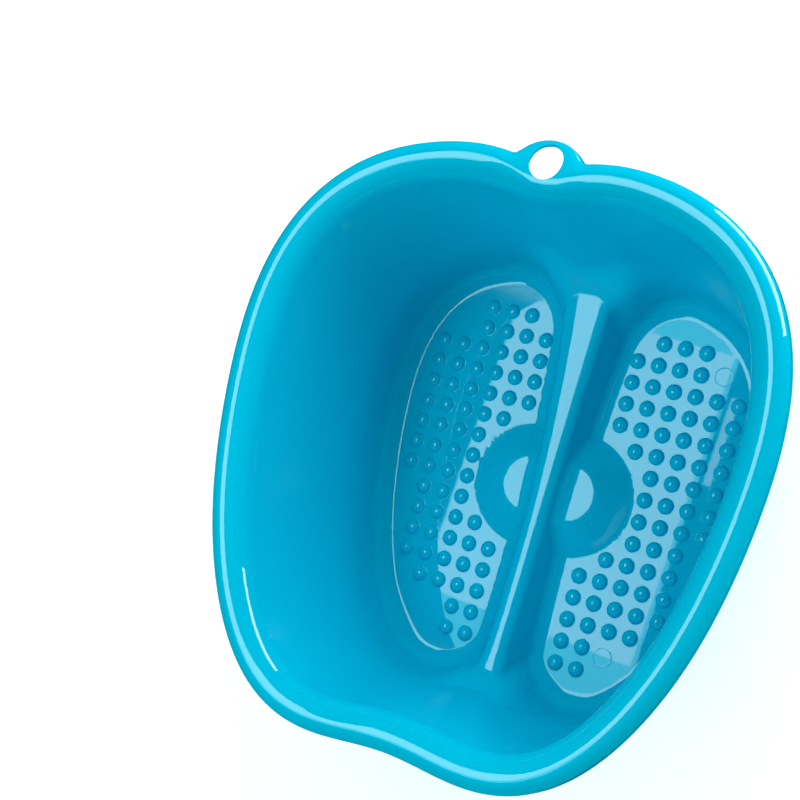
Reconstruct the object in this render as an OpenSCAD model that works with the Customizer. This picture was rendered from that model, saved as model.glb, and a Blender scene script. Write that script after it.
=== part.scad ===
// Foot bath: one thin-walled moulding on an apple-shaped plan, standing on two foot lobes with a
// hollow ridge between them, and one printed label on its side wall.
// X runs across the two feet, +Y points at the hanging tab, Z = 0 is the surface it stands on.
// The origin is the centre of the base. All sizes are in millimetres.
// Every wall and rim point is a place on one section curve, carried round the plan outline.

/* [Basin] */
// Height of the rim's crest above the base
rim_height = 170; // [140:1:200]
// Thickness of every wall, floor and flange
wall_t = 2.5; // [2:0.1:4]
// How far the wall's foot stands in from the rim's edge
foot_inset = 43; // [38:1:46]
// How far the wall's top stands in from the rim's edge
top_inset = 23.5; // [20:0.5:28]
// Radius between the floor and the wall, inside
floor_fillet = 14; // [8:1:16]

/* [Rim] */
// How far the rim's crest stands in from its edge
crest_inset = 7.5; // [5:0.5:9]
// Height of the rolled rim, from the wall's top to its crest
rim_roll = 15; // [12:1:20]
// Depth of the rim's outer roll below its crest
edge_drop = 7; // [5:0.5:9]
// Length of the straight lip under the outer roll
lip_depth = 7; // [4:0.5:10]

/* [Hanging tab] */
// Radius of the hanging hole
hole_r = 11; // [6:0.5:11.5]
// Distance of the hanging hole from the centre of the base
hole_y = 178.5; // [178:0.5:180]
// Radius of the tab's round outline
tab_r = 26; // [24:0.5:27]
// Distance of the tab's furthest point from the centre of the base
tab_reach = 194; // [193:0.5:196]
// Thickness of the tab
tab_t = 3; // [2:0.5:5]
// Depth of the tab's top face below the rim's crest
tab_drop = 3; // [2:0.5:6]

/* [Ridge and mound] */
// Lowest height of the ridge's crest
ridge_height = 24.8; // [18:0.2:30]
// Place along Y where the ridge is lowest
ridge_low_y = -20; // [-30:1:0]
// Distance of each round mound's centre from the ridge's middle
mound_x = 14.5; // [10:0.5:20]
// Radius of each round mound at the floor
mound_r = 42.5; // [38:0.5:46]
// Radius of the mound's flat top
mound_top_r = 19; // [14:1:24]
// Height of the mound above the floor
mound_h = 11; // [8:0.5:14]
// Place of the mound's centre along Y
mound_y = -8.5; // [-12:0.5:0]

/* [Massage nubs] */
// Distance between neighbouring nubs
nub_pitch = 15.3; // [15:0.1:16]
// Radius of a nub at its foot
nub_r = 5.6; // [5:0.1:6.5]
// Height of a nub above the floor
nub_h = 3; // [2.5:0.1:5]
// Distance from the middle of the bath to the first column of nubs
nub_x0 = 34.7; // [34:0.1:36]
// Place along Y of the row of nubs nearest the tab
nub_y0 = 107.75; // [106:0.25:109]

/* [Label] */
// Length of the label along the wall
label_w = 110; // [60:1:120]
// Height of the label up the wall
label_h = 76; // [40:1:80]
// Place of the label's middle along Y
label_y = -11; // [-30:1:10]
// Height of the label's middle
label_z = 98; // [70:1:105]
// Thickness of the label
label_t = 0.3; // [0.2:0.1:0.5]

/* [Hidden] */
basin_blue = "deepskyblue";

// Plan outline of the rim: its radius at an angle from +Y is a sum of cosines, less a dent where
// the tab is and a wider dent at the other end.
outline_waves = [196.3, -7.2, 15, -11.7, -3.5, -2];
tab_dent = 7.9;
tab_dent_angle = 9.74;
heel_dent = 38.4;
heel_dent_angle = 20.63;

// Angles of the wall's columns: close together where the ridge runs into the end walls.
tab_fan = 6.2;
heel_fan = 6;
fan_steps = 8;
side_steps = 56;
side_step = (180 - tab_fan - heel_fan) / side_steps;
right_angles = [for (i = [1:side_steps - 1]) tab_fan + i * side_step];
tab_angles = [for (i = [0:fan_steps]) tab_fan * (2 * i / fan_steps - 1)];
heel_angles = [for (i = [0:fan_steps]) 180 - heel_fan + 2 * heel_fan * i / fan_steps];
left_angles = [for (i = [1:side_steps - 1]) 180 + heel_fan + i * side_step];
angles = concat(tab_angles, right_angles, heel_angles, left_angles);

ridge_steps = 20;
arc_steps = 6;
nub_columns = [
    [1, 3], [0, 3], [0, 5], [0, 5], [0, 5], [1, 5], [2, 5], [2, 5],
    [2, 5], [2, 4], [1, 4], [0, 4], [0, 4], [0, 3], [0, 1], [0, 1]
];

// Distance of an angle from the tab, 0 to 180 degrees
function from_tab(a) = a > 180 ? 360 - a : abs(a);

function cosine_sum(b) = [for (k = [0:5]) outline_waves[k] * cos(k * b)] * [1, 1, 1, 1, 1, 1];

function outline_r(b) = cosine_sum(b)
    - tab_dent * exp(-pow(b / tab_dent_angle, 2))
    - heel_dent * exp(-pow((180 - b) / heel_dent_angle, 2));

function outline(a) = outline_r(from_tab(a)) * [sin(a), cos(a)];

function inward(a) = let (d = outline(a + 0.2) - outline(a - 0.2)) [d.y, -d.x] / norm(d);

// A plan point that stands in from the rim's edge
function plan(a, inset) = outline(a) + inset * inward(a);

function bezier(p, u) = pow(1 - u, 3) * p[0] + 3 * u * pow(1 - u, 2) * p[1]
    + 3 * u * u * (1 - u) * p[2] + pow(u, 3) * p[3];

// Section curve of the basin's inside, as [inset, height], from the floor to the lip.
wall_top_z = rim_height - rim_roll;
draft = atan((foot_inset - top_inset) / (wall_top_z - wall_t));
fillet_reach = floor_fillet * tan((90 - draft) / 2);
floor_inset = foot_inset + fillet_reach;
fillet_centre = [floor_inset, wall_t + floor_fillet];
wall_path = concat(
    [for (i = [0:arc_steps]) let (b = -90 - i * (90 - draft) / arc_steps)
        fillet_centre + floor_fillet * [cos(b), sin(b)]],
    [for (i = [1:3]) let (foot = fillet_centre + floor_fillet * [-cos(draft), -sin(draft)])
        foot + (i / 3) * ([top_inset, wall_top_z] - foot)]
);
inner_roll = [
    [top_inset, wall_top_z],
    [top_inset - 9 * tan(draft), wall_top_z + 9],
    [crest_inset + 9, rim_height],
    [crest_inset, rim_height]
];
outer_roll = [
    [crest_inset, rim_height],
    [crest_inset - 3.3, rim_height],
    [0, rim_height - edge_drop + 4],
    [0, rim_height - edge_drop]
];
rim_path = concat(
    [for (i = [0:arc_steps]) bezier(inner_roll, i / arc_steps)],
    [for (i = [1:arc_steps]) bezier(outer_roll, i / arc_steps)],
    [[0, rim_height - edge_drop - lip_depth]]
);

// The same path moved back through the wall's thickness
function back_of(path) = [for (i = [0:len(path) - 1])
    let (d = path[min(i + 1, len(path) - 1)] - path[max(i - 1, 0)])
    path[i] + wall_t * [-d.y, d.x] / norm(d)];

function reversed(list) = [for (i = [len(list) - 1:-1:0]) list[i]];

function closed_section(path) = concat(path, reversed(back_of(path)));

function smooth_step(u) = let (v = min(max(u, 0), 1)) v * v * (3 - 2 * v);

// Ridge height above the floor: full over the crest, falling to nothing at its foot
function crest_rise(y) = ridge_height - wall_t + pow((y - ridge_low_y) / 42, 2);
function ridge_share(u) = 1 - smooth_step((u - 0.12) / 0.88);

// Fraction of the ridge's half-width at a column of the wall; 1 or more is outside the ridge
function ridge_u(a) = let (b = from_tab(a)) b < 90 ? b / tab_fan : (180 - b) / heel_fan;

// The end walls rise over the hollow ridge and fade back into the wall above it
lift_top = 75;
function end_lift(a, z) = crest_rise(plan(a, floor_inset).y) * ridge_share(ridge_u(a))
    * max(0, 1 - z / lift_top);

function wall_point(a, s) = let (p = plan(a, s[0])) [p.x, p.y, s[1] + end_lift(a, s[1])];

// The rim narrows behind the tab to leave room for the hanging hole
hole_margin = 3;
bite_r = hole_r + hole_margin;
function bite(a) = let (x = abs(outline(a).x)) from_tab(a) < 90 && x < bite_r
    ? max(0, outline(a).y - hole_y + sqrt(bite_r * bite_r - x * x)) : 0;

function rim_point(a, s) = let (f = (top_inset - bite(a)) / top_inset)
    let (p = plan(a, top_inset - (top_inset - s[0]) * f)) [p.x, p.y, s[1]];

// Faces of a closed band: rings of equal length, joined one to the next and the last to the first
function band_faces(rings, n) = [for (i = [0:rings - 1], j = [0:n - 1])
    let (a = i * n, b = ((i + 1) % rings) * n, k = (j + 1) % n)
    each [[a + j, b + j, b + k], [a + j, b + k, a + k]]];

module basin_wall() {
    section = closed_section(wall_path);
    points = [for (a = angles, s = section) wall_point(a, s)];
    color(basin_blue) polyhedron(points, band_faces(len(angles), len(section)), convexity = 8);
}

module rim() {
    section = closed_section(rim_path);
    points = [for (a = angles, s = section) rim_point(a, s)];
    color(basin_blue) polyhedron(points, band_faces(len(angles), len(section)), convexity = 8);
}

module hanging_tab() {
    rim_edge = [for (a = angles) let (p = rim_point(a, [0, 0])) [p.x, p.y]];
    color(basin_blue)
    translate([0, 0, rim_height - tab_drop - tab_t])
    difference() {
        linear_extrude(tab_t)
        difference() {
            translate([0, tab_reach - tab_r]) circle(r = tab_r, $fn = 96);
            polygon(rim_edge);
        }
        translate([0, hole_y, -1]) cylinder(r = hole_r, h = tab_t + 2, $fn = 96);
    }
}

// Plan point on the ridge: u runs across it from -1 to 1, v along it from the heel to the tab
function ridge_plan(u, v) = let (
    heel = plan(180 - u * heel_fan, floor_inset),
    tab = plan(u * tab_fan, floor_inset),
    waist = 1 - 0.12 * sin(180 * v)
) [waist * (heel.x + v * (tab.x - heel.x)), heel.y + v * (tab.y - heel.y)];

function ridge_top(u, v) = let (p = ridge_plan(u, v))
    [p.x, p.y, wall_t + crest_rise(p.y) * ridge_share(abs(u))];

module centre_ridge() {
    across = fan_steps;
    ring = 2 * (across + 1);
    points = [for (j = [0:ridge_steps], i = [0:ring - 1])
        let (under = i > across, k = under ? ring - 1 - i : i)
        ridge_top(2 * k / across - 1, j / ridge_steps) - [0, 0, under ? wall_t : 0]];
    sides = [for (j = [0:ridge_steps - 1], i = [0:ring - 1])
        let (a = j * ring, b = a + ring, k = (i + 1) % ring)
        each [[a + i, b + k, b + i], [a + i, a + k, b + k]]];
    heel_end = [for (i = [0:across - 1]) each [
        [i, ring - 1 - i, i + 1], [i + 1, ring - 1 - i, ring - 2 - i]]];
    far = ridge_steps * ring;
    tab_end = [for (f = heel_end) [far + f[0], far + f[2], far + f[1]]];
    color(basin_blue) polyhedron(points, concat(sides, heel_end, tab_end), convexity = 6);
}

// Floor of one foot lobe, flat, with a round opening under the mound
module footbed(side) {
    outer = [for (a = concat([tab_fan], right_angles, [180 - heel_fan])) plan(a, floor_inset)];
    inner = [for (j = [1:ridge_steps - 1]) ridge_plan(1, j / ridge_steps)];
    color(basin_blue)
    linear_extrude(wall_t)
    scale([side, 1])
    difference() {
        polygon(concat(outer, inner));
        translate([mound_x, mound_y]) circle(r = mound_r, $fn = 120);
    }
}

// Half of the hollow mound, cut back where the ridge's side passes over it
module mound(side) {
    foot = [mound_r, 0];
    top_z = wall_t + mound_h;
    profile = [
        [0, top_z + 0.2], [mound_top_r - 2, top_z], [mound_top_r + 1.5, top_z - 0.9],
        [mound_r - 3, wall_t + 1], [mound_r, wall_t], foot, [mound_r - 4, 0],
        [mound_top_r, top_z - wall_t - 1], [mound_top_r - 4, top_z - wall_t], [0, top_z - wall_t]
    ];
    ridge_foot = 23.5;
    ridge_cut = 14;
    color(basin_blue)
    difference() {
        translate([side * mound_x, mound_y, 0]) rotate_extrude($fn = 120) polygon(profile);
        mirror([side > 0 ? 0 : 1, 0, 0])
        rotate([90, 0, 0])
        linear_extrude(3 * mound_r, center = true)
        polygon([
            [ridge_foot, -1], [ridge_foot, wall_t], [ridge_cut, top_z + 1], [ridge_cut, 3 * top_z],
            [-2 * mound_r, 3 * top_z], [-2 * mound_r, -1]
        ]);
    }
}

module nub() {
    cap_r = (nub_r * nub_r + nub_h * nub_h) / (2 * nub_h);
    intersection() {
        translate([0, 0, nub_h - cap_r]) sphere(r = cap_r, $fn = 32);
        cylinder(r = 2 * nub_r, h = 2 * nub_h, $fn = 32);
    }
}

module nubs(side) {
    color(basin_blue)
    for (row = [0:len(nub_columns) - 1], col = [nub_columns[row][0]:nub_columns[row][1]])
        translate([side * (nub_x0 + col * nub_pitch), nub_y0 - row * nub_pitch, wall_t])
        nub();
}

// Outside of the wall at a column and a height
function wall_inset(z) = foot_inset - (z - wall_t) * tan(draft) - wall_t / cos(draft);

module label() {
    middle = 94.5;
    half_turn = 15;
    columns = 14;
    found = [for (i = [0:200]) let (a = middle - half_turn - 5 + i * (half_turn + 5) / 100) a];
    start = [for (a = found) if (plan(a, wall_inset(label_z)).y > label_y + label_w / 2) a];
    finish = [for (a = found) if (plan(a, wall_inset(label_z)).y > label_y - label_w / 2) a];
    a0 = start[len(start) - 1];
    a1 = finish[len(finish) - 1];
    heights = [label_z - label_h / 2, label_z + label_h / 2];
    corners = [[heights[0], 0], [heights[1], 0], [heights[1], label_t], [heights[0], label_t]];
    points = [for (i = [0:columns], c = corners)
        let (p = plan(a0 + (a1 - a0) * i / columns, wall_inset(c[0]) - c[1])) [p.x, p.y, c[0]]];
    sides = [for (i = [0:columns - 1], j = [0:3])
        let (a = 4 * i, k = (j + 1) % 4)
        each [[a + j, a + 4 + j, a + 4 + k], [a + j, a + 4 + k, a + k]]];
    last = 4 * columns;
    ends = [[0, 1, 2], [0, 2, 3], [last, last + 2, last + 1], [last, last + 3, last + 2]];
    color("aliceblue") polyhedron(points, concat(sides, ends), convexity = 4);
}

basin_wall();
rim();
hanging_tab();
footbed(-1);  // footbed_left
footbed(1);  // footbed_right
centre_ridge();
mound(-1);  // mound_left
mound(1);  // mound_right
nubs(-1);  // nubs_left
nubs(1);  // nubs_right
label();
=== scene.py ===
import math

import bpy
import numpy as np
from mathutils import Euler, Matrix, Vector


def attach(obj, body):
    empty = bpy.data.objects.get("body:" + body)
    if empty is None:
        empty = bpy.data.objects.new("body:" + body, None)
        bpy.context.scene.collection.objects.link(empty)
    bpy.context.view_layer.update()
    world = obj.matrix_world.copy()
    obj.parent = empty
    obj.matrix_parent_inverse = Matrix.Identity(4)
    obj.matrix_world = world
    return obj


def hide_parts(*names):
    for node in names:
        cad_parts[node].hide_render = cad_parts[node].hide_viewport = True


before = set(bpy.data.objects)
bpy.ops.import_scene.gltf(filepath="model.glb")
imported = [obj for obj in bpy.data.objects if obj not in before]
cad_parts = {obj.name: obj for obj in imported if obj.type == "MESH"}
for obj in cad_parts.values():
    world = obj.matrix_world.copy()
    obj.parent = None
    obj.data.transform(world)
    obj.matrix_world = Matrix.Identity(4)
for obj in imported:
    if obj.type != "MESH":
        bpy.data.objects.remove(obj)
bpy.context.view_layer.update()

# ---- Sizes, in millimetres: part.scad's, a few of them a hair smaller, and the skin's own -------

WAVES = (196.3, -7.2, 15.0, -11.7, -3.5, -2.0)
TAB_DENT, TAB_DENT_ANGLE = 7.9, 9.74
HEEL_DENT, HEEL_DENT_ANGLE = 38.4, 20.63
EDGE_CLEARANCE = 0.2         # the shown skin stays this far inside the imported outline

WALL_T = 2.5
FOOT_INSET, TOP_INSET = 43.0, 23.5
WALL_TOP_Z, CREST_Z, EDGE_Z, LIP_Z = 155.0, 170.0, 163.0, 156.0
CREST_INSET = 7.5
INNER_PULL, OUTER_PULL, EDGE_PULL = 9.0, 3.3, 4.0    # how far each roll's control points reach
DRAFT = math.atan((FOOT_INSET - TOP_INSET) / (WALL_TOP_Z - WALL_T))

TAB_R, TAB_REACH = 26.0, 193.7
TAB_FILLET = 3.5
TAB_FALL = 1.2               # the tab's end lies this much lower than the rim
TAB_BLEND = 8.0              # the rim turns into the tab over this much extra reach
TAB_LIP_RISE = 2.5           # the tab's lip is this much shorter than the rim's
TAB_SETBACK, TAB_SETBACK_WIDTH = 4.0, 17.0           # the crest stands further in behind the tab
HOLE_RX, HOLE_RY, HOLE_Y = 11.0, 11.9, 178.5

RIDGE_FOOT, RIDGE_FOOT_Y, RIDGE_FLARE = 23.2, -50, 3.5e-4
RIDGE_H, RIDGE_LOW_Y, RIDGE_SAG_Y = 24.8, -20, 42
RIDGE_TOE = 6.7              # the straight side would meet the floor this far inside the foot
CREST_R, CREST_R_TAB, CREST_R_HEEL = 27, 125, 25     # crest radius, and what each end adds
CREST_HALF, CREST_HALF_TAB, CREST_HALF_HEEL = 6, 10.5, 2.2
CREST_EDGE_R = 3.5
TAB_END_Y, TAB_END_LENGTH = -60, 190                 # the ridge opens out from here to the tab
HEEL_END_Y, HEEL_END_LENGTH = -110, 27
TAB_CORNER, TAB_CORNER_GAIN = 16, 25                 # the upright corners beside the ridge's ends:
HEEL_CORNER, HEEL_CORNER_GAIN = 14.5, 15.5           # radius at the crest, and its gain to the foot
MOUND_X, MOUND_Y, MOUND_R, MOUND_H = 14.5, -8.5, 42.4, 11.0
MOUND_SLOPE, MOUND_TOP_R, MOUND_DOME, MOUND_BLEND = math.radians(26), 19, 0.16, 0.7
RIDGE_FILLET, WALL_FILLET = 6.2, 12.3                # where the ridge and the wall meet the floor
HEEL_BULGE, HEEL_BULGE_H = 3.0, 45                   # the heel wall's foot leans in
HEEL_BULGE_Y, HEEL_BULGE_LENGTH = -95, 35
NUB_PITCH, NUB_R, NUB_H, NUB_X0, NUB_Y0 = 15.3, 5.6, 3.0, 34.7, 107.75
NUB_COLUMNS = (
    (1, 3), (0, 3), (0, 5), (0, 5), (0, 5), (1, 5), (2, 5), (2, 5),
    (2, 5), (2, 4), (1, 4), (0, 4), (0, 4), (0, 3), (0, 1), (0, 1),
)
LABEL_W, LABEL_H, LABEL_Y, LABEL_Z = 110.0, 76.0, -11.0, 98.0
PIN_MARKS, PIN_R = ((65.5, -109.0), (96.0, 94.5)), 6.3

MM = 0.001


# ---- Plan outline -------------------------------------------------------------------------------

def outline_r(a):
    b = np.abs(a)
    deg = np.degrees(b)
    r = sum(w * np.cos(k * b) for k, w in enumerate(WAVES))
    r = r - TAB_DENT * np.exp(-(deg / TAB_DENT_ANGLE) ** 2)
    return r - HEEL_DENT * np.exp(-((180 - deg) / HEEL_DENT_ANGLE) ** 2)


def raw_outline(a):
    r = outline_r(a)
    return np.stack([r * np.sin(a), r * np.cos(a)], -1)


def raw_slope(a, h=1e-4):
    return (raw_outline(a + h) - raw_outline(a - h)) / (2 * h)


def inward(a):
    d = raw_slope(a)
    return np.stack([d[..., 1], -d[..., 0]], -1) / np.linalg.norm(d, axis=-1, keepdims=True)


def outline(a):
    return raw_outline(a) + EDGE_CLEARANCE * inward(a)


def inset_of(p):
    """How far plan points inside the right half stand in from the raw outline."""
    overlap, places, block = 0.4, 1500, 4000
    table_a = np.linspace(-overlap, math.pi + overlap, places)
    table = raw_outline(np.where(table_a > math.pi, table_a - 2 * math.pi, table_a))
    a = np.empty(len(p))
    for i in range(0, len(p), block):
        q = p[i:i + block]
        d = (q[:, None, 0] - table[None, :, 0]) ** 2 + (q[:, None, 1] - table[None, :, 1]) ** 2
        a[i:i + block] = table_a[d.argmin(1)]
    # From the nearest place in the table, a few Newton steps to the true foot point
    h, tiny, furthest = 1e-3, 1e-9, 0.004
    for _ in range(4):
        g = ((p - raw_outline_wrapped(a)) * slope_wrapped(a)).sum(-1)
        g2 = ((p - raw_outline_wrapped(a + h)) * slope_wrapped(a + h)).sum(-1)
        step = -g * h / np.where(np.abs(g2 - g) < tiny, tiny, g2 - g)
        a = a + np.clip(step, -furthest, furthest)
    return np.linalg.norm(p - raw_outline_wrapped(a), axis=-1)


def wrapped(a):
    return (a + math.pi) % (2 * math.pi) - math.pi


def raw_outline_wrapped(a):
    return raw_outline(wrapped(a))


def slope_wrapped(a, h=1e-4):
    return (raw_outline_wrapped(a + h) - raw_outline_wrapped(a - h)) / (2 * h)


# ---- The rim, the tab and the upper wall: a section carried round the outline -------------------

def smooth_step(u):
    v = np.clip(u, 0, 1)
    return v * v * (3 - 2 * v)


def bezier(p, u):
    p = np.asarray(p, float)
    u = np.asarray(u, float)[..., None]
    return ((1 - u) ** 3 * p[0] + 3 * u * (1 - u) ** 2 * p[1]
            + 3 * u * u * (1 - u) * p[2] + u ** 3 * p[3])


INNER_ROLL = (
    (TOP_INSET, WALL_TOP_Z),
    (TOP_INSET - INNER_PULL * math.tan(DRAFT), WALL_TOP_Z + INNER_PULL),
    (CREST_INSET + INNER_PULL, CREST_Z), (CREST_INSET, CREST_Z))
OUTER_ROLL = (
    (CREST_INSET, CREST_Z), (CREST_INSET - OUTER_PULL, CREST_Z),
    (0.0, EDGE_Z + EDGE_PULL), (0.0, EDGE_Z))
JOIN_Z = 76.0                # the section carried round ends here; below it the floor takes over


def tab_edge_r(a):
    """Outline radius without and with the round tab, at an angle from +Y."""
    base = np.linalg.norm(outline(a), axis=-1)
    c = TAB_REACH - TAB_R
    s = c * np.sin(np.abs(a))
    disc = c * np.cos(a) + np.sqrt(np.maximum(TAB_R ** 2 - s * s, 0.0))
    disc = np.where((s < TAB_R) & (np.abs(a) < 0.5), disc, 0.0)
    h = np.clip(1 - np.abs(base - disc) / TAB_FILLET, 0, 1)
    return base, np.maximum(base, disc) + h * h * TAB_FILLET / 4


def edge(a):
    """Plan point of the rim's furthest edge, tab included, and how far it is past the plain rim."""
    base, r = tab_edge_r(a)
    p = outline(a)
    scale = (r / base)[..., None]
    return p * scale, (r - base)


def section(a, t):
    """Surface point at angle a. t is 0 at the lip's end, 1 at the edge, 2 at the crest,
    3 at the wall's top and 4 on the wall at height JOIN_Z."""
    a, t = np.broadcast_arrays(np.asarray(a, float), np.asarray(t, float))
    c, n = outline(a), inward(a)
    e, past = edge(a)
    setback = TAB_SETBACK * np.exp(-(c[..., 0] / TAB_SETBACK_WIDTH) ** 2)
    crest_in = CREST_INSET + np.where(np.abs(a) < 1, setback, 0.0)
    w = smooth_step(past / TAB_BLEND)

    u = np.clip(t, 0, 1)
    z = LIP_Z + u * (EDGE_Z - LIP_Z) + w * (1 - u) * TAB_LIP_RISE - TAB_FALL * w
    lip = np.concatenate([e, z[..., None]], -1)

    # On the tab the roll's round end keeps its size and the flat part of it grows
    u = np.clip(2 - t, 0, 1)
    s = bezier(OUTER_ROLL, u)
    crest = c + crest_in[..., None] * n
    d = e - crest
    length = np.linalg.norm(d, axis=-1)
    flat_end, flat_power = 0.72, 1.15
    growth = (length - CREST_INSET) * np.clip(u / flat_end, 0, 1) ** flat_power
    along = np.where(u > 0.999, length, CREST_INSET - s[..., 0] + growth)
    p = crest + d * (along / length)[..., None]
    z = s[..., 1] - TAB_FALL * w * (along / length) ** 2
    roll = np.concatenate([p, z[..., None]], -1)

    u = np.clip(3 - t, 0, 1)
    s = bezier(INNER_ROLL, u)
    wider = (TOP_INSET - crest_in) / (TOP_INSET - CREST_INSET)
    in_by = TOP_INSET - (TOP_INSET - s[..., 0]) * wider
    inner = np.concatenate([c + in_by[..., None] * n, s[..., 1:]], -1)

    u = np.clip(4 - t, 0, 1)
    z = JOIN_Z + u * (WALL_TOP_Z - JOIN_Z)
    wall = np.concatenate([c + wall_inset(z)[..., None] * n, z[..., None]], -1)

    out = np.where((t < 1)[..., None], lip, roll)
    out = np.where((t >= 2)[..., None], inner, out)
    return np.where((t >= 3)[..., None], wall, out)


def wall_inset(z):
    return FOOT_INSET - (z - WALL_T) * math.tan(DRAFT)


def section_normal(a, t):
    ha, ht = 2e-4, 1e-3
    a, t = np.broadcast_arrays(np.asarray(a, float), np.asarray(t, float))
    da = section(a + ha, t) - section(a - ha, t)
    t0, t1 = np.maximum(t - ht, 0), np.minimum(t + ht, 4)
    dt = section(a, t1) - section(a, t0)
    n = np.cross(dt, da)
    n /= np.linalg.norm(n, axis=-1, keepdims=True)
    return n


# ---- The floor, ridge and mound: a height over the plan ------------------------------------------

def round_min(a, b, r):
    u, v = np.maximum(r - a, 0), np.maximum(r - b, 0)
    return np.where((a < r) & (b < r), r - np.sqrt(u * u + v * v), np.minimum(a, b))


def soft_low(a, b, k):
    h = np.clip(1 - np.abs(a - b) / k, 0, 1)
    return np.minimum(a, b) - h * h * k / 4


def ridge_foot(y):
    """Half the ridge's width at the floor."""
    return RIDGE_FOOT + RIDGE_FLARE * (y - RIDGE_FOOT_Y) ** 2


def crest_height(y):
    return RIDGE_H + ((y - RIDGE_LOW_Y) / RIDGE_SAG_Y) ** 2


def tab_share(y):
    """Grows from 0 towards the tab, where the ridge opens out."""
    return np.clip((y - TAB_END_Y) / TAB_END_LENGTH, 0, None) ** 2


def heel_share(y):
    """Grows from 0 at the ridge's heel end."""
    return np.clip((HEEL_END_Y - y) / HEEL_END_LENGTH, 0, None) ** 2


def crest_radius(y):
    return CREST_R + CREST_R_TAB * tab_share(y) + CREST_R_HEEL * heel_share(y)


def crest_half(y):
    return CREST_HALF + CREST_HALF_TAB * tab_share(y) + CREST_HALF_HEEL * heel_share(y)


def floor_height(x, y):
    """The flat floor with the mounds on it, each a cone under a slightly domed top."""
    r = np.sqrt((np.abs(x) - MOUND_X) ** 2 + (y - MOUND_Y) ** 2)
    slope = (MOUND_R - r) * math.tan(MOUND_SLOPE)
    top = MOUND_H + 0.1 - MOUND_DOME * (r / MOUND_TOP_R) ** 2
    mound = soft_low(slope, top, MOUND_BLEND)
    return WALL_T - soft_low(-mound, 0.0, MOUND_BLEND)


def field(x, y, z, inset):
    """Above zero in the air over the basin's floor, zero on its surface."""
    heel = HEEL_BULGE * smooth_step((HEEL_BULGE_Y - y) / HEEL_BULGE_LENGTH)
    heel = heel * np.clip(1 - z / HEEL_BULGE_H, 0, 1) ** 2
    wall = (inset - EDGE_CLEARANCE - heel - wall_inset(z)) * math.cos(DRAFT)
    floor = z - floor_height(x, y)
    foot, top = ridge_foot(y) - RIDGE_TOE, crest_height(y)
    slope = np.arctan((top - WALL_T) / (foot - crest_half(y)))
    side = (np.abs(x) - foot + (z - WALL_T) / np.tan(slope)) * np.sin(slope)
    crest = z - top + x * x / (2 * crest_radius(y))
    ridge = -round_min(-side, -crest, CREST_EDGE_R)
    # The upright corners where the ridge runs into the end walls widen from crest to foot
    wide = smooth_step((np.abs(x) - 5) / (ridge_foot(y) - 7))
    corner = np.where(y > 0, TAB_CORNER + TAB_CORNER_GAIN * wide,
                      HEEL_CORNER + HEEL_CORNER_GAIN * wide)
    upright = round_min(wall, ridge, corner)
    from_ridge, from_wall = np.clip(ridge, 0.01, None), np.clip(wall, 0.01, None)
    share = smooth_step(from_ridge / (from_ridge + from_wall))
    fillet = RIDGE_FILLET + (WALL_FILLET - RIDGE_FILLET) * share
    return round_min(upright, floor, fillet)


def height(x, y, inset):
    """Height of the floor, ridge or wall over a plan point, by halving."""
    lo, hi = np.full(x.shape, -2.0), np.full(x.shape, JOIN_Z + 6)
    for _ in range(HALVINGS):
        mid = (lo + hi) / 2
        up = field(x, y, mid, inset) < 0
        lo, hi = np.where(up, mid, lo), np.where(up, hi, mid)
    return (lo + hi) / 2


def floor_normal(x, y, z):
    h = 0.05
    p = np.stack([x, y], -1)
    g = []
    for dx, dy in ((h, 0), (0, h)):
        q1, q0 = p + (dx, dy), p - (dx, dy)
        f1 = field(q1[:, 0], q1[:, 1], z, inset_of(q1))
        f0 = field(q0[:, 0], q0[:, 1], z, inset_of(q0))
        g.append((f1 - f0) / (2 * h))
    i = inset_of(p)
    g.append((field(x, y, z + h, i) - field(x, y, z - h, i)) / (2 * h))
    n = np.stack(g, -1)
    return n / np.linalg.norm(n, axis=-1, keepdims=True)


# ---- The moulding's mesh -------------------------------------------------------------------------

COLUMNS = 440                # all the way round the outline
HALF = COLUMNS // 2
FLOOR_ROWS = 111             # from the joint to the ridge's crest
HALVINGS = 34                # of the interval that a floor height is searched in
EDGE_ROWS = 2                # on the lip, below the edge
OUTER_ROWS, INNER_ROWS, WALL_ROWS = 9, 14, 8
CREST_ROW = EDGE_ROWS + OUTER_ROWS
HOLE_ROWS = (4, 18)          # the rows that the hanging hole's rings take the place of
HOLE_MARGIN = 3.2
HOLE_RINGS = 4
CLOSING_ROWS = 6             # round the sheet's closed edges
LIP_BULGE, HOLE_BULGE = 1.2, 0.3
SPINE_Y, SPINE_HALF = -5, 98                         # the line on the crest that the columns run to


def column_angles():
    """Angles of the right half's columns, evenly spaced along the outline."""
    a = np.linspace(0, math.pi, 8001)
    p = raw_outline(a)
    s = np.concatenate([[0], np.cumsum(np.linalg.norm(np.diff(p, axis=0), axis=1))])
    return np.interp(np.linspace(0, s[-1], HALF + 1), s, a)


ANGLES = column_angles()
RIM_T = np.concatenate([
    np.linspace(0, 1, EDGE_ROWS + 1)[:-1], np.linspace(1, 2, OUTER_ROWS + 1)[:-1],
    np.linspace(2, 3, INNER_ROWS + 1)[:-1], np.linspace(3, 4, WALL_ROWS + 1)])


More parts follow.
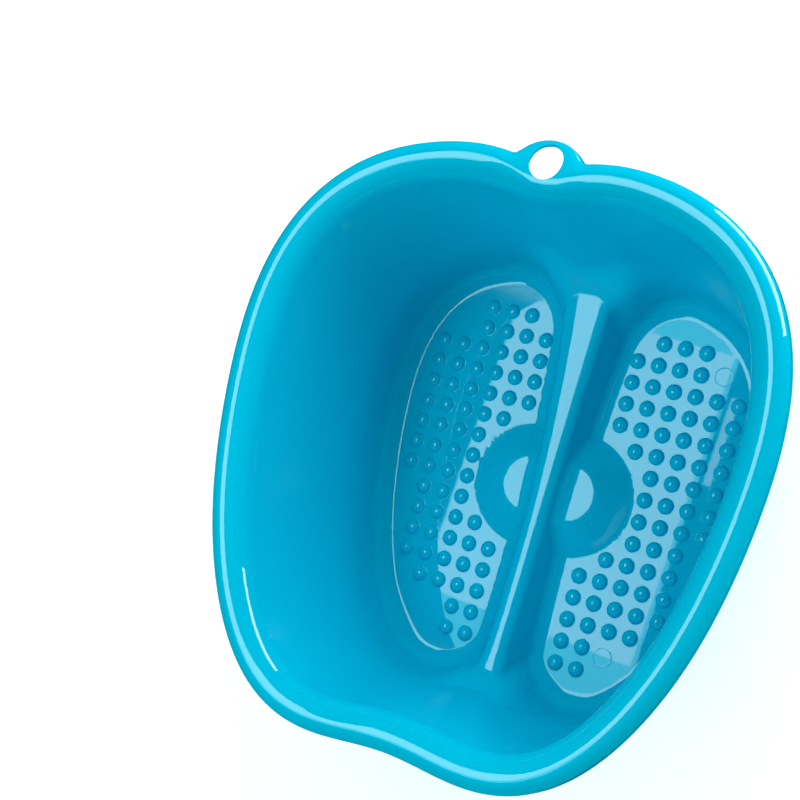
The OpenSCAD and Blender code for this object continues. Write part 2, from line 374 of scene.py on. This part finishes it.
def floor_paths(v):
    """Plan points of every column at fractions v of its way from the wall to the crest."""
    n = inward(ANGLES)
    p0 = outline(ANGLES) + wall_inset(np.float64(JOIN_Z)) * n
    spine = np.stack([0 * ANGLES, SPINE_Y + SPINE_HALF * np.cos(ANGLES)], -1)
    length = np.linalg.norm(spine - p0, axis=-1, keepdims=True)
    squash, wall_pull, crest_pull = 0.75, 0.33, 0.3
    away = np.stack([np.sin(ANGLES), squash * np.cos(ANGLES)], -1)
    away /= np.linalg.norm(away, axis=-1, keepdims=True)
    p1, p2 = p0 + wall_pull * length * n, spine + crest_pull * length * away
    v = v[..., None]
    return ((1 - v) ** 3 * p0[:, None] + 3 * v * (1 - v) ** 2 * p1[:, None]
            + 3 * v * v * (1 - v) * p2[:, None] + v ** 3 * spine[:, None])


def floor_grid():
    """Points and normals of the right half below the joint, rows from the wall to the crest."""
    samples, crowding, bend_weight = 320, 1.5, 14
    fine = np.linspace(0, 1, samples) ** crowding
    v = np.tile(fine, (HALF + 1, 1))
    p = floor_paths(v)
    flat = p.reshape(-1, 2)
    z = height(flat[:, 0], flat[:, 1], inset_of(flat)).reshape(v.shape)
    q = np.concatenate([p, z[..., None]], -1)
    # Rows are closer where the surface bends
    step = np.diff(q, axis=1)
    length = np.linalg.norm(step, axis=-1)
    d = step / length[..., None]
    turn = np.zeros(length.shape)
    turn[:, 1:] = np.arccos(np.clip((d[:, 1:] * d[:, :-1]).sum(-1), -1, 1))
    measure = 0.5 * length + bend_weight * turn
    s = np.concatenate([np.zeros((HALF + 1, 1)), np.cumsum(measure, 1)], 1)
    rows = np.empty((HALF + 1, FLOOR_ROWS + 1))
    for i in range(HALF + 1):
        rows[i] = np.interp(np.linspace(0, s[i, -1], FLOOR_ROWS + 1), s[i], fine)
    p = floor_paths(rows)
    flat = p.reshape(-1, 2)
    z = height(flat[:, 0], flat[:, 1], inset_of(flat))
    n = floor_normal(flat[:, 0], flat[:, 1], z)
    shape = rows.shape + (3,)
    q = np.concatenate([flat, z[:, None]], -1).reshape(shape)
    n = n.reshape(shape)
    n[0, :, 0] = 0
    n[-1, :, 0] = 0
    n[:, -1, 0] = 0
    n /= np.linalg.norm(n, axis=-1, keepdims=True)
    return q, n


def upper_grid():
    a, t = ANGLES[:, None], RIM_T[None, :]
    q = section(a, t)
    n = section_normal(a, t)
    n[0, :, 0] = 0
    n[-1, :, 0] = 0
    n /= np.linalg.norm(n, axis=-1, keepdims=True)
    return q, n


def mirrored(grid):
    """Adds the left half: columns run all the way round, from the tab over the right side."""
    left = grid[-2:0:-1].copy()
    left[..., 0] *= -1
    return np.concatenate([grid, left], 0)


def circle_on_section(angles):
    """The hole's edge as places (a, t) on the section's surface, found by Newton steps."""
    x = HOLE_RX * np.cos(angles)
    y = HOLE_Y + HOLE_RY * np.sin(angles)
    a = np.arctan2(x, y)
    t = np.where(y > 172, 1.6, 2.0)
    h, tiny = 1e-4, 1e-6
    for _ in range(40):
        p = section(a, t)
        ex, ey = x - p[..., 0], y - p[..., 1]
        pa = (section(a + h, t) - section(a - h, t)) / (2 * h)
        pt = (section(a, t + h) - section(a, t - h)) / (2 * h)
        det = pa[..., 0] * pt[..., 1] - pa[..., 1] * pt[..., 0]
        det = np.where(np.abs(det) < tiny, tiny, det)
        da = (ex * pt[..., 1] - ey * pt[..., 0]) / det
        dt = (pa[..., 0] * ey - pa[..., 1] * ex) / det
        a = a + np.clip(da, -0.02, 0.02)
        t = np.clip(t + np.clip(dt, -0.1, 0.1), 1.05, 2.8)
    return a, t


def build_moulding():
    upper_q, upper_n = upper_grid()
    floor_q, floor_n = floor_grid()
    q = mirrored(np.concatenate([upper_q, floor_q[:, 1:]], 1))
    n = mirrored(np.concatenate([upper_n, floor_n[:, 1:]], 1))
    cols, rows = q.shape[:2]
    index = np.arange(cols * rows).reshape(cols, rows)
    for m in range(HALF + 1, cols):
        index[m, -1] = index[cols - m, -1]

    # The block of columns and rows that the hole takes out of the grid, of even size
    side = int(np.argmax(q[:HALF, CREST_ROW, 0] > HOLE_RX + HOLE_MARGIN))
    side += side % 2
    row_lo, row_hi = HOLE_ROWS
    loop = [(c, row_hi) for c in range(-side, side + 1)]
    loop += [(side, r) for r in range(row_hi - 1, row_lo - 1, -1)]
    loop += [(c, row_lo) for c in range(side - 1, -side - 1, -1)]
    loop += [(-side, r) for r in range(row_lo + 1, row_hi)]
    ring_a = np.array([math.copysign(ANGLES[abs(c)], c) for c, _ in loop])
    ring_t = np.array([RIM_T[r] for _, r in loop])
    at = section(ring_a, ring_t)
    theta = np.unwrap(np.arctan2(at[:, 1] - HOLE_Y, at[:, 0]))
    way = np.sign(theta[-1] - theta[0])
    even = theta[0] + way * np.arange(len(loop)) * 2 * math.pi / len(loop)
    evenness = 0.65
    hole_a, hole_t = circle_on_section((1 - evenness) * theta + evenness * even)

    points, normals = [q.reshape(-1, 3)], [n.reshape(-1, 3)]
    rings = [np.array([index[c % cols, r] for c, r in loop])]
    total = cols * rows
    for s in np.arange(1, HOLE_RINGS + 1) / HOLE_RINGS:
        a, t = ring_a + (hole_a - ring_a) * s, ring_t + (hole_t - ring_t) * s
        points.append(section(a, t))
        normals.append(section_normal(a, t))
        rings.append(np.arange(total, total + len(loop)))
        total += len(loop)
    points, normals = np.concatenate(points), np.concatenate(normals)

    def sheet(stride):
        """Faces of one side of the moulding, taking every row and column or every other one."""
        c = np.arange(0, cols, stride)
        r = np.arange(0, rows - 1, stride)
        i, j = [v.ravel() for v in np.meshgrid(c, r, indexing="ij")]
        k, m = (i + stride) % cols, j + stride
        offset = np.where(i < HALF, i, i - cols)
        keep = ~((offset >= -side) & (offset < side) & (j >= row_lo) & (j < row_hi))
        i, j, k, m = i[keep], j[keep], k[keep], m[keep]
        quads = [np.stack([index[i, j], index[k, j], index[k, m], index[i, m]], -1)]
        for a, b in zip(rings, rings[1:]):
            a, b = a[::stride], b[::stride]
            quads.append(np.stack([a, np.roll(a, -1), np.roll(b, -1), b], -1))
        return np.concatenate(quads)

    # The other face of the sheet, and the rounded edges that close it
    back = points - WALL_T * normals
    all_points, all_normals = [points, back], [normals, -normals]
    all_faces = [sheet(1), sheet(2) + total]
    total *= 2

    def close(ids, out_dir, bulge):
        """A strip from one face of the sheet to the other, rounded towards out_dir."""
        nonlocal total
        mid = (points[ids] + back[ids]) / 2
        half = (points[ids] - back[ids]) / 2
        previous = None
        for phi in np.linspace(0, math.pi, CLOSING_ROWS):
            all_points.append(mid + half * math.cos(phi) + out_dir * bulge * math.sin(phi))
            way = half / WALL_T * 2 * math.cos(phi) + out_dir * math.sin(phi)
            all_normals.append(way / np.linalg.norm(way, axis=-1, keepdims=True))
            now = np.arange(total, total + len(ids))
            total += len(ids)
            if previous is not None:
                all_faces.append(np.stack(
                    [previous, now, np.roll(now, -1), np.roll(previous, -1)], -1))
            previous = now

    close(index[:, 0], np.array([[0.0, 0.0, -1.0]]), LIP_BULGE)
    to_centre = np.array([0.0, HOLE_Y, 0.0]) - points[rings[-1]]
    to_centre[:, 2] = 0
    to_centre /= np.linalg.norm(to_centre, axis=-1, keepdims=True)
    close(rings[-1], to_centre, HOLE_BULGE)

    faces = np.concatenate(all_faces)
    used, faces = np.unique(faces, return_inverse=True)
    faces = faces.reshape(-1, 4)
    return np.concatenate(all_points)[used], np.concatenate(all_normals)[used], faces


def facing(points, faces, normals):
    """The same faces, each turned to the side that its corners' normals point to."""
    a, b, c, d = (points[faces[:, k]] for k in range(4))
    way = np.cross(c - a, d - b)
    mean = normals[faces].sum(1)
    return np.where(((way * mean).sum(-1) > 0)[:, None], faces, faces[:, ::-1])


def make_mesh(name, points, faces, normals):
    faces = facing(points, faces, normals).tolist()
    faces = [list(dict.fromkeys(f)) for f in faces]
    mesh = bpy.data.meshes.new(name)
    mesh.from_pydata((points * MM).tolist(), [], faces)
    mesh.validate(verbose=False)
    mesh.polygons.foreach_set("use_smooth", [True] * len(mesh.polygons))
    mesh.normals_split_custom_set_from_vertices(normals.tolist())
    mesh.update()
    obj = bpy.data.objects.new(name, mesh)
    bpy.context.scene.collection.objects.link(obj)
    return obj


# ---- Nubs ----------------------------------------------------------------------------------------

def nub_profile():
    """Radius, height and normal from a nub's top to the floor: an ellipse, then a small fillet."""
    reach = 0.91 * NUB_R
    dome_end, dome_steps, fillet_steps = math.radians(78.5), 9, 4
    profile = []
    for i in range(dome_steps + 1):
        u = dome_end * i / dome_steps
        tilt = math.atan2(NUB_H * math.sin(u), reach * math.cos(u))
        profile.append((reach * math.sin(u), NUB_H * math.cos(u), math.sin(tilt), math.cos(tilt)))
    r0, z0 = profile[-1][:2]
    fillet = z0 / (1 - math.cos(tilt))
    centre_r = r0 + fillet * math.sin(tilt)
    for i in range(1, fillet_steps + 1):
        b = tilt * (1 - i / fillet_steps)
        profile.append((centre_r - fillet * math.sin(b), fillet * (1 - math.cos(b)),
                        math.sin(b), math.cos(b)))
    return profile


def build_nubs(side):
    """All the nubs of one footbed, a hair above the floor so that no faces coincide."""
    turns, lift = 32, 0.01
    profile = nub_profile()
    angle = 2 * math.pi * np.arange(turns) / turns
    c, s = np.cos(angle), np.sin(angle)
    rings = [np.stack([r * c, r * s, np.full(turns, WALL_T + z + lift)], -1)
             for r, z, _, _ in profile[1:]]
    turned = [np.stack([nr * c, nr * s, np.full(turns, nz)], -1) for _, _, nr, nz in profile[1:]]
    one = np.concatenate([[[0, 0, WALL_T + NUB_H + lift]]] + rings)
    one_n = np.concatenate([[[0, 0, 1.0]]] + turned)
    k = np.arange(turns)
    m = np.roll(k, -1)
    quads = [np.stack([0 * k, 1 + k, 1 + m, 0 * k], -1)]
    for ring in range(len(profile) - 2):
        a = 1 + ring * turns
        quads.append(np.stack([a + k, a + turns + k, a + turns + m, a + m], -1))
    quads = np.concatenate(quads)
    places = [(side * (NUB_X0 + col * NUB_PITCH), NUB_Y0 - row * NUB_PITCH, 0)
              for row, (first, last) in enumerate(NUB_COLUMNS) for col in range(first, last + 1)]
    points = np.concatenate([one + place for place in places])
    normals = np.tile(one_n, (len(places), 1))
    faces = np.concatenate([quads + i * len(one) for i in range(len(places))])
    name = "massage_nubs_right" if side > 0 else "massage_nubs_left"
    return make_mesh(name, points, faces, normals)


# ---- Label ---------------------------------------------------------------------------------------

def build_label():
    """A skin on the outside of the right-hand wall, with its own flat coordinates."""
    cols, rows, skin = 41, 3, 0.15
    faces, points, uv, normals = [], [], [], []
    out = WALL_T / math.cos(DRAFT) + skin
    # The angles where the label's ends lie, from a fine table along the wall
    a = np.linspace(math.radians(70), math.radians(120), 4001)
    p = outline(a) + (wall_inset(np.float64(LABEL_Z)) - out) * inward(a)
    ends = [np.interp(-y, -p[:, 1], a)
            for y in (LABEL_Y + LABEL_W / 2, LABEL_Y - LABEL_W / 2)]
    for b in np.linspace(*ends, cols):
        n = inward(b)
        for z in np.linspace(LABEL_Z - LABEL_H / 2, LABEL_Z + LABEL_H / 2, rows):
            q = outline(b) + (wall_inset(z) - out) * n
            points.append((q[0], q[1], z))
            normals.append((-n[0] * math.cos(DRAFT), -n[1] * math.cos(DRAFT), -math.sin(DRAFT)))
            uv.append((q[1] - LABEL_Y, z - LABEL_Z))
    for i in range(cols - 1):
        for j in range(rows - 1):
            k = i * rows + j
            faces.append([k, k + 1, k + rows + 1, k + rows])
    obj = make_mesh("printed_label", np.array(points), np.array(faces), np.array(normals))
    layer = obj.data.uv_layers.new(name="flat")
    for loop in obj.data.loops:
        u, v = uv[loop.vertex_index]
        layer.data[loop.index].uv = (u / LABEL_W + 0.5, v / LABEL_H + 0.5)
    return obj


# ---- Materials -----------------------------------------------------------------------------------

class Nodes:
    """A few lines that make a node tree read like a formula."""

    def __init__(self, name):
        self.material = bpy.data.materials.new(name)
        self.material.use_nodes = True
        self.tree = self.material.node_tree
        self.shader = self.tree.nodes["Principled BSDF"]

    def add(self, kind, **settings):
        node = self.tree.nodes.new(kind)
        for key, value in settings.items():
            setattr(node, key, value)
        return node

    def join(self, out, socket):
        self.tree.links.new(out, socket)

    def feed(self, socket, value):
        if isinstance(value, (int, float, tuple)):
            socket.default_value = value
        else:
            self.join(value, socket)

    def math(self, operation, *values):
        node = self.add("ShaderNodeMath", operation=operation)
        for socket, value in zip(node.inputs, values):
            self.feed(socket, value)
        return node.outputs[0]

    def mix(self, share, first, second):
        node = self.add("ShaderNodeMix", data_type="RGBA")
        factor, color_a, color_b, result = node.inputs[0], node.inputs[6], node.inputs[7], 2
        self.feed(factor, share)
        self.feed(color_a, first)
        self.feed(color_b, second)
        return node.outputs[result]

    def noise(self, where, scale):
        node = self.add("ShaderNodeTexNoise")
        node.inputs["Scale"].default_value = scale
        node.inputs["Detail"].default_value = 2
        self.join(where, node.inputs["Vector"])
        return node.outputs["Fac"]

    def bump(self, height, strength, distance, under=None):
        node = self.add("ShaderNodeBump")
        node.inputs["Strength"].default_value = strength
        node.inputs["Distance"].default_value = distance
        self.join(height, node.inputs["Height"])
        if under:
            self.join(under, node.inputs["Normal"])
        return node.outputs["Normal"]

    def radius(self, x, y):
        return self.math("SQRT", self.math(
            "ADD", self.math("MULTIPLY", x, x), self.math("MULTIPLY", y, y)))

    def inside(self, value, low, high):
        return self.math("MULTIPLY", self.math("GREATER_THAN", value, low),
                         self.math("LESS_THAN", value, high))

    def steps(self, value, start, changes):
        """A value that is start at first; each (low, high, change) then adds its change,
        smoothly from low to high."""
        total = start
        for low, high, change in changes:
            rise = self.add("ShaderNodeMapRange", interpolation_type="SMOOTHSTEP")
            self.feed(rise.inputs["Value"], value)
            rise.inputs["From Min"].default_value = low
            rise.inputs["From Max"].default_value = high
            rise.inputs["To Max"].default_value = change
            total = self.math("ADD", rise.outputs["Result"], total)
        return total


def plastic(name, color):
    m = Nodes(name)
    where = m.add("ShaderNodeTexCoord").outputs["Object"]
    split = m.add("ShaderNodeSeparateXYZ")
    m.join(where, split.inputs[0])
    x, y, z = split.outputs
    cloud, ripple, cloud_depth = 7, 60, 0.04
    tint = m.mix(m.noise(where, cloud), tuple((1 - cloud_depth) * c for c in color) + (1.0,),
                 tuple((1 + cloud_depth) * c for c in color) + (1.0,))
    # Painted light and shade: light comes through the thin walls, so the base colour is painted
    # paler there than on the floor and the rolled rim
    depth = m.steps(z, 0.96, ((0.025, 0.060, 0.09), (0.154, 0.168, -0.10)))
    tint_with_painted_light = m.add("ShaderNodeVectorMath", operation="SCALE")
    m.join(tint, tint_with_painted_light.inputs[0])
    m.join(depth, tint_with_painted_light.inputs["Scale"])
    m.join(tint_with_painted_light.outputs[0], m.shader.inputs["Base Color"])
    wavy = m.bump(m.noise(where, ripple), strength=0.05, distance=0.0001)
    # Two faint rings on the right footbed, left by the mould's round pins
    ring_w = 0.5
    rings = 0.0
    for cx, cy in PIN_MARKS:
        r = m.radius(m.math("SUBTRACT", x, cx * MM), m.math("SUBTRACT", y, cy * MM))
        off = m.math("ABSOLUTE", m.math("SUBTRACT", r, PIN_R * MM))
        ring = m.math("SUBTRACT", 1.0, m.math("MINIMUM", m.math("DIVIDE", off, ring_w * MM), 1.0))
        rings = m.math("ADD", ring, rings)
    on_floor = m.math("LESS_THAN", z, (WALL_T + 0.3) * MM)
    pins = m.bump(m.math("MULTIPLY", rings, on_floor), strength=0.25, distance=0.00008, under=wavy)
    m.join(pins, m.shader.inputs["Normal"])
    # Polished floor, ridge and rim; the walls between them are satin
    polished, satin_gain = 0.02, 0.16
    satin = m.steps(z, polished, ((0.032, 0.046, satin_gain), (0.144, 0.154, -satin_gain)))
    m.join(satin, m.shader.inputs["Roughness"])
    m.shader.inputs["IOR"].default_value = 1.49
    return m.material


def label_paper():
    """Printed paper with waves, a disc and plain bars, placed in millimetres from its middle."""
    m = Nodes("label_print")
    flat = m.add("ShaderNodeUVMap", uv_map="flat").outputs[0]
    split = m.add("ShaderNodeSeparateXYZ")
    m.join(flat, split.inputs[0])
    u = m.math("MULTIPLY", m.math("SUBTRACT", split.outputs[0], 0.5), LABEL_W)
    v = m.math("MULTIPLY", m.math("SUBTRACT", split.outputs[1], 0.5), LABEL_H)
    white, pale, mid = (0.83, 0.88, 0.93, 1.0), (0.36, 0.60, 0.83, 1.0), (0.16, 0.34, 0.68, 1.0)
    deep, grey = (0.10, 0.14, 0.55, 1.0), (0.12, 0.17, 0.30, 1.0)

    # A pale band with a deep edge along the top and the bottom
    band, line, wave_h, wave_rate = 29.0, 27.2, 3.0, 0.055
    wave = m.math("MULTIPLY", m.math("SINE", m.math("MULTIPLY", u, wave_rate)), wave_h)
    up = m.math("ADD", v, wave)
    paint = m.mix(m.math("GREATER_THAN", up, band), white, pale)
    paint = m.mix(m.inside(up, line, band), paint, deep)
    paint = m.mix(m.math("LESS_THAN", up, -band), paint, pale)
    paint = m.mix(m.inside(up, -band, -line), paint, deep)

    disc_v, disc_r = 18.0, 6.5
    disc = m.math("LESS_THAN", m.radius(u, m.math("SUBTRACT", v, disc_v)), disc_r)
    paint = m.mix(disc, paint, mid)

    # Three thick bars in a row, where the real label has its title
    title = m.math("MULTIPLY", m.inside(v, 2.0, 7.0), m.inside(u, -44.0, 44.0))
    gap_u, gap_half = 15.0, 1.6
    from_gap = m.math("ABSOLUTE", m.math("SUBTRACT", m.math("ABSOLUTE", u), gap_u))
    gaps = m.math("LESS_THAN", from_gap, gap_half)
    paint = m.mix(m.math("MULTIPLY", title, m.math("SUBTRACT", 1.0, gaps)), paint, mid)

    # Thin bars for its small print, and a striped block
    bar_h, stripe_rate = 1.3, 4.2
    for low, left, right in ((-2.5, -40.0, 36.0), (-6.5, -44.0, 42.0), (-21.0, 16.0, 44.0)):
        bar = m.math("MULTIPLY", m.inside(v, low, low + bar_h), m.inside(u, left, right))
        paint = m.mix(bar, paint, grey)
    stripes = m.math("GREATER_THAN", m.math("SINE", m.math("MULTIPLY", u, stripe_rate)), 0.0)
    block = m.math("MULTIPLY", m.inside(v, -18.0, -10.5), m.inside(u, 16.0, 44.0))
    paint = m.mix(m.math("MULTIPLY", block, stripes), paint, grey)
    m.join(paint, m.shader.inputs["Base Color"])
    m.shader.inputs["Roughness"].default_value = 0.32
    m.shader.inputs["IOR"].default_value = 1.45
    return m.material


# ---- The pieces ----------------------------------------------------------------------------------

BLUE = (0.0, 0.515, 0.74)
blue_plastic = plastic("blue_polypropylene", BLUE)

points, normals, faces = build_moulding()
moulding = make_mesh("basin_moulding", points, faces, normals)
moulding.data.materials.append(blue_plastic)
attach(moulding, "root")
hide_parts("basin_wall", "rim", "hanging_tab", "footbed_left", "footbed_right",
            "centre_ridge", "mound_left", "mound_right")

for side, node in ((-1, "nubs_left"), (1, "nubs_right")):
    nubs = build_nubs(side)
    nubs.data.materials.append(blue_plastic)
    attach(nubs, "root")
    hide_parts(node)

label = build_label()
label.data.materials.append(label_paper())
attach(label, "root")
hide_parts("label")


# ---- Stage, light and camera ---------------------------------------------------------------------

def studio_white():
    """White card that glows faintly, so that it renders as the photograph's plain white."""
    m = Nodes("studio_white")
    m.shader.inputs["Base Color"].default_value = (0.93, 0.93, 0.93, 1.0)
    m.shader.inputs["Roughness"].default_value = 0.7
    m.shader.inputs["Emission Color"].default_value = (1.0, 1.0, 1.0, 1.0)
    m.shader.inputs["Emission Strength"].default_value = 0.38
    return m.material


FLOOR_SIZE, FLOOR_GAP = 120, 0.0005                  # metres, as are all values from here on
bpy.ops.mesh.primitive_plane_add(size=FLOOR_SIZE, location=(0, 0, -FLOOR_GAP))
floor = bpy.context.object
floor.name = "studio_floor"
floor.data.materials.append(studio_white())
floor.visible_glossy = False


def softbox(name, place, target, width, depth, power):
    data = bpy.data.lights.new(name, "AREA")
    data.shape = "RECTANGLE"
    data.size, data.size_y, data.energy = width, depth, power
    obj = bpy.data.objects.new(name, data)
    bpy.context.scene.collection.objects.link(obj)
    obj.location = place
    aim = Vector(target) - Vector(place)
    obj.rotation_euler = aim.to_track_quat("-Z", "Y").to_euler()
    return obj


# The overhead softbox that the polished floors mirror: a warm middle, a cool edge and a thin strip
KEY_TURN = math.radians(3.8)
for name, (x, y, z), width, depth, power, color in (
        ("key_overhead", (-0.445, 0.055, 1.3), 0.37, 0.50, 1.8, (1.0, 0.62, 0.65)),
        ("key_halo", (-0.445, 0.03, 1.302), 0.38, 0.68, 3.9, (0.25, 0.97, 1.0)),
        ("key_strip", (-0.2315, 0.16, 1.3), 0.013, 0.14, 0.026, (0.62, 0.95, 1.0))):
    light = softbox(name, (x, y, z), (x, y, 0.0), width, depth, power)
    light.rotation_euler.z -= KEY_TURN
    light.data.color = color

# A low window that only the gloss sees: it draws the two short streaks on the rim
window = softbox("accent_window", (1.273, 2.026, 0.2), (0.14, 0.14, 0.2), 2.15, 1.2, 86)
window.visible_diffuse = False

# Soft light from all round, without reflections of its own
FILL_AIM, FILL_SIZE = (0.0, 0.0, 0.1), 0.9
for name, place, power in (
        ("fill_back", (0.0, 1.2, 0.6), 6.7), ("fill_right", (0.85, 0.85, 0.6), 10.6),
        ("fill_front", (0.0, -1.2, 0.6), 2.3), ("fill_front_high", (0.0, -0.84, 1.1), 2.6),
        ("fill_left", (-0.85, -0.85, 0.6), 0.9), ("fill_left_high", (-0.72, -0.42, 1.1), 1.8)):
    fill = softbox(name, place, FILL_AIM, FILL_SIZE, FILL_SIZE, power)
    fill.visible_glossy = False

world = bpy.data.worlds.new("studio")
bpy.context.scene.world = world
world.use_nodes = True
sky = world.node_tree.nodes["Background"].inputs
sky["Color"].default_value = (1.0, 1.0, 1.0, 1.0)
sky["Strength"].default_value = 0.2
world.cycles_visibility.glossy = False

# The photograph's own camera, worked out from the tub's symmetry and the even grid of nubs
camera_data = bpy.data.cameras.new("photo_camera")
camera_data.sensor_width = 36
camera_data.lens = 69.38
camera_data.clip_end = 150
camera = bpy.data.objects.new("photo_camera", camera_data)
bpy.context.scene.collection.objects.link(camera)
camera_place = Vector((0.3691, -0.0332, 1.0177))
camera_turn = Euler([math.radians(a) for a in (10.469, 24.471, 17.323)])
camera.matrix_world = Matrix.LocRotScale(camera_place, camera_turn, None)
bpy.context.scene.camera = camera
bpy.context.scene.view_settings.view_transform = "Standard"
